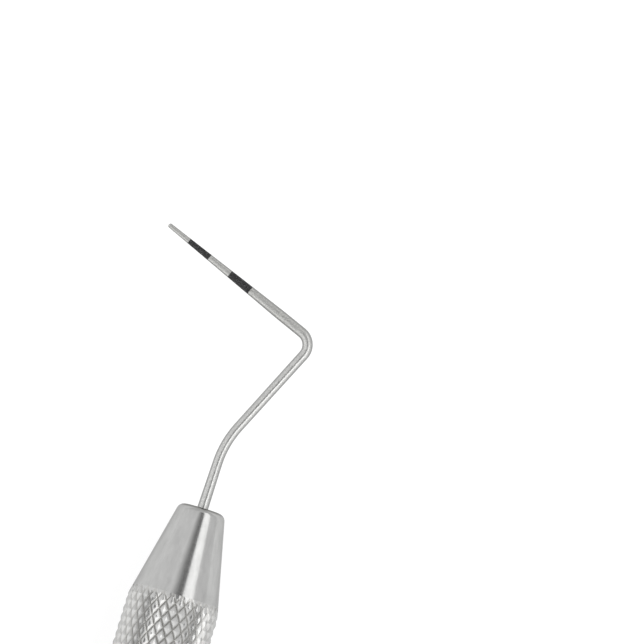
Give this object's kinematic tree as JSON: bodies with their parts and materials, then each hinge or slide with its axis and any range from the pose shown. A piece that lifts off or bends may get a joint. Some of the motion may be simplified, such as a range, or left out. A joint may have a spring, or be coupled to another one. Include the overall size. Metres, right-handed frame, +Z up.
{
  "type": "periodontal probe",
  "caption": "Straight round probe end with black depth bands on a bent wire shank, brazed into the cone nose of a hollow knurled handle, for measuring gum pockets.",
  "frame": {"origin": "on the handle's axis, midway along the front knurled grip", "axes": "+X along the handle's axis towards the working end, the shank's bends lie in the XY plane with the tip on the +Y side, +Z up; lying on a table the handle's underside is at z = -5.35 mm"},
  "size_m": [0.1651, 0.0199, 0.0106],
  "materials": {
    "rod_steel": "fine satin ground stainless steel wire",
    "band_fill": "matte black fill in shallow ring recesses",
    "turned_steel": "turned and semi-bright polished stainless steel",
    "braze_alloy": "dull silver brazing alloy",
    "knurled_steel": "diamond knurled and turned stainless steel, tumbled bright"
  },
  "bodies": {
    "root": {"probe_rod": "rod_steel", "depth_band_3_6": "band_fill", "depth_band_9_12": "band_fill", "nose_cone": "turned_steel", "shank_braze": "braze_alloy", "nose_braze": "braze_alloy", "handle_tube": "knurled_steel", "tail_cap": "turned_steel", "tail_braze": "braze_alloy"}
  },
  "joints": []
}
